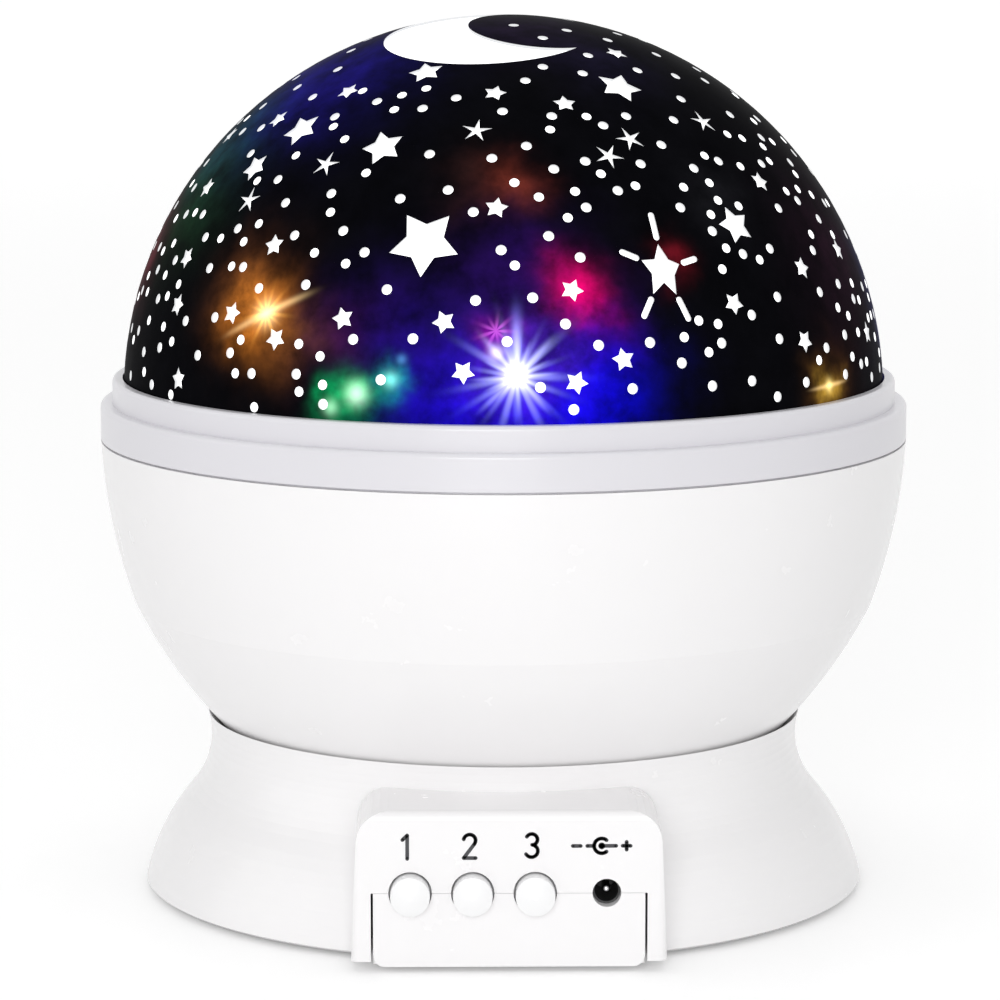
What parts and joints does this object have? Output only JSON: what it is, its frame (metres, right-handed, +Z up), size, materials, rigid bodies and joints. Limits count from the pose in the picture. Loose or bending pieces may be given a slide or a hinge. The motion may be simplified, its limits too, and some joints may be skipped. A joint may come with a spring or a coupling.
{
  "type": "star night light projector",
  "caption": "Night light with a star-pierced dome that lifts off a bowl, which turns by a gear on a flared base with push buttons, a power inlet and a battery bay.",
  "frame": {"origin": "on the resting plane, on the axis that the head turns about", "axes": "+Z up along the head's axis, -Y towards the control panel, +X to the right seen from the panel"},
  "size_m": [0.1292, 0.1292, 0.1401],
  "materials": {
    "mask_black": "glossy opaque black print on the dome",
    "dome_milky": "milky translucent plastic, lit from inside",
    "ring_pearl": "pale pearl-grey satin plastic",
    "casing_white": "glossy white moulded plastic",
    "button_white": "glossy white moulded plastic",
    "gear_plastic": "natural acetal",
    "washer_black": "dark bearing plastic",
    "switch_black": "black moulded plastic",
    "steel": "plated steel",
    "pin_chrome": "nickel plate",
    "board_white": "white solder mask",
    "lamp_white": "clear water-white lens, lit",
    "lamp_red": "red lens, lit",
    "lamp_green": "green lens, lit",
    "lamp_blue": "blue lens, lit",
    "wire_red": "soft insulation",
    "feet_rubber": "grey rubber pads",
    "board_green": "green solder mask",
    "cell_jacket": "plain printed jacket"
  },
  "bodies": {
    "base": {"gearbox_case": "gear_plastic", "motor_can": "steel", "motor_screws": "steel", "lamp_post": "casing_white", "post_screws": "steel", "thrust_washer": "washer_black", "retaining_ring": "steel", "lamp_head": "casing_white", "led_board": "board_white", "led_white": "lamp_white", "led_red": "lamp_red", "led_green": "lamp_green", "led_blue": "lamp_blue", "led_wires": "wire_red", "base_shell": "casing_white", "bottom_cover": "casing_white", "cover_screws": "steel", "rubber_feet": "feet_rubber", "control_board": "board_green", "board_screws": "steel", "switch_bodies": "switch_black", "dc_jack": "switch_black", "jack_pin": "pin_chrome", "battery_cells": "cell_jacket", "battery_contacts": "pin_chrome"},
    "head": {"bowl": "casing_white", "head_gear": "gear_plastic", "gear_screws": "steel", "reflector_dish": "casing_white"},
    "dome_cover": {"trim_ring": "ring_pearl", "dome_shell": "dome_milky", "star_mask": "mask_black"},
    "pinion": {"drive_pinion": "gear_plastic", "output_shaft": "steel"},
    "push_1": {"button_1": "button_white", "switch_stem_1": "gear_plastic"},
    "push_2": {"button_2": "button_white", "switch_stem_2": "gear_plastic"},
    "push_3": {"button_3": "button_white", "switch_stem_3": "gear_plastic"},
    "door": {"battery_door": "casing_white", "door_screw": "steel"}
  },
  "joints": [
    {"name": "head_turn", "type": "hinge", "parent": "base", "child": "head", "pos_m": [0, 0, 0.03], "axis": [0, 0, 1], "continuous": true},
    {"name": "pinion_turn", "type": "hinge", "parent": "base", "child": "pinion", "pos_m": [-0.01652, -0.02359, 0.028], "axis": [0, 0, 1], "continuous": true},
    {"name": "cover_lift", "type": "slide", "parent": "head", "child": "dome_cover", "axis": [0, 0, 1], "range_m": [0, 0.09]},
    {"name": "button_1_press", "type": "slide", "parent": "base", "child": "push_1", "axis": [0, 1, 0], "range_m": [0, 0.0012], "stiffness_N_per_m": 400, "springref_m": -0.002},
    {"name": "button_2_press", "type": "slide", "parent": "base", "child": "push_2", "axis": [0, 1, 0], "range_m": [0, 0.0012], "stiffness_N_per_m": 400, "springref_m": -0.002},
    {"name": "button_3_press", "type": "slide", "parent": "base", "child": "push_3", "axis": [0, 1, 0], "range_m": [0, 0.0012], "stiffness_N_per_m": 400, "springref_m": -0.002},
    {"name": "door_swing", "type": "hinge", "parent": "base", "child": "door", "pos_m": [0, 0.0338, 0.0017], "axis": [1, 0, 0], "range_deg": [0, 95]}
  ],
  "couplings": [
    {"joint": "pinion_turn", "follows": "head_turn", "ratio": -3}
  ]
}
